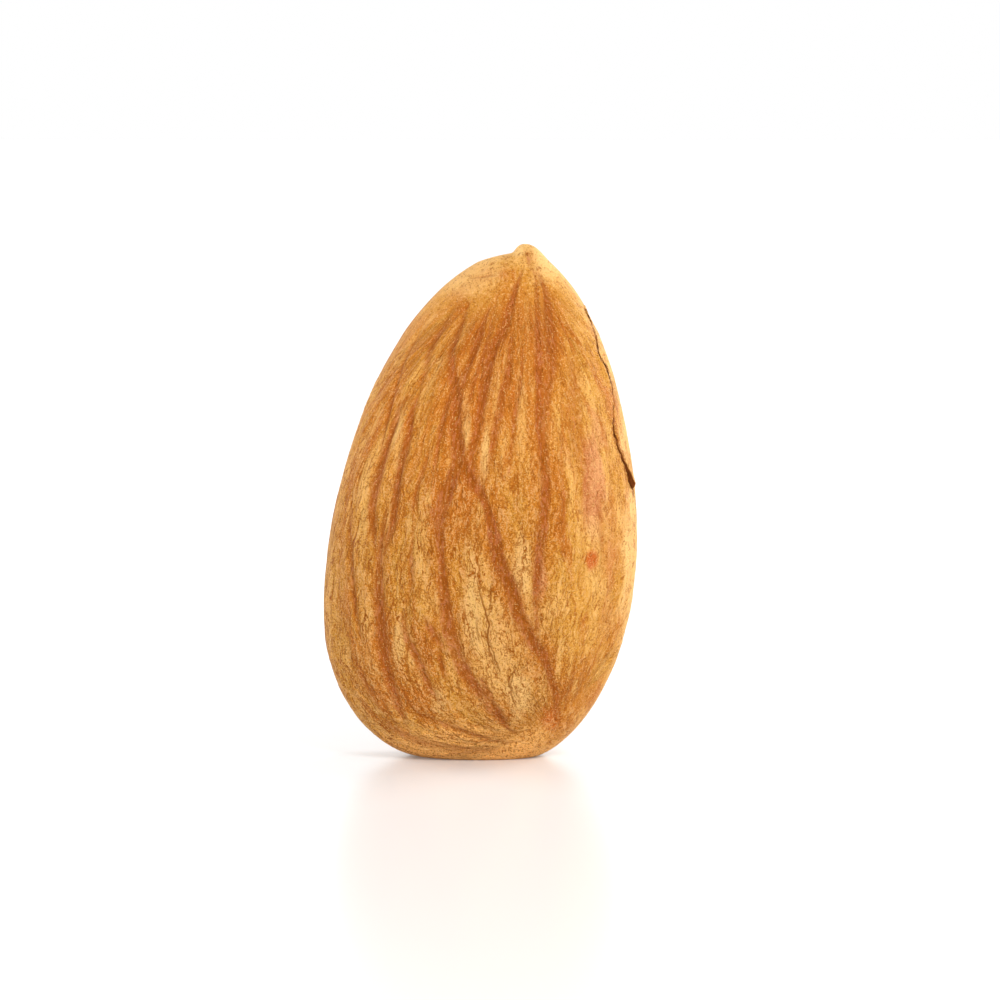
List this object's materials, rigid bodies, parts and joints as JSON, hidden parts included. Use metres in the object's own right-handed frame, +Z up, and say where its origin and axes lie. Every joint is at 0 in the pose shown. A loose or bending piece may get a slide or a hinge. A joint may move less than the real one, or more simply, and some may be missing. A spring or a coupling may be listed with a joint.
{
  "type": "almond",
  "caption": "Shelled almond kernel in its brown wrinkled skin: broad and flattened, with a rounded blunt end, a small nub at the pointed tip, and a small flat spot that it stands on.",
  "frame": {"origin": "on the surface that the almond stands on, under the middle of its width and thickness", "axes": "+Z up along the kernel from the blunt end to the tip, +X across the broad faces towards the edge that the tip leans to, -Y out of the front face"},
  "size_m": [0.0146, 0.0084, 0.024],
  "materials": {
    "brown_skin": "dull, with a faint sheen"
  },
  "bodies": {
    "root": {"almond": "brown_skin"}
  },
  "joints": []
}
